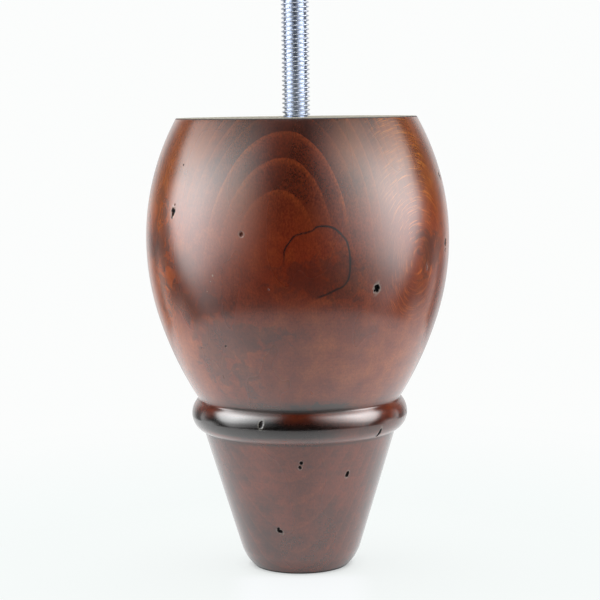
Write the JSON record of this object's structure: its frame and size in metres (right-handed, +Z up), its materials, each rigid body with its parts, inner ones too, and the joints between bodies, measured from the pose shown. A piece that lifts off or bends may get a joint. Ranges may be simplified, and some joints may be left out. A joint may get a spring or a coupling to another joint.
{
  "type": "furniture foot",
  "caption": "Turned wooden furniture foot with a round belly, a bead and a tapered lower end, carried by a threaded stud that stands up from its flat top.",
  "frame": {"origin": "centre of the base, on the floor", "axes": "+Z up along the turning axis, out of the threaded stud; -Y towards the side that the picture shows"},
  "size_m": [0.086, 0.086, 0.1635],
  "materials": {
    "stained_wood": "red-brown stain with dark glaze in the hollows, distressed, satin lacquer; bare wood on the top face",
    "zinc_plated_steel": "bright zinc plating"
  },
  "bodies": {
    "root": {"turned_foot": "stained_wood", "hanger_bolt": "zinc_plated_steel"}
  },
  "joints": []
}
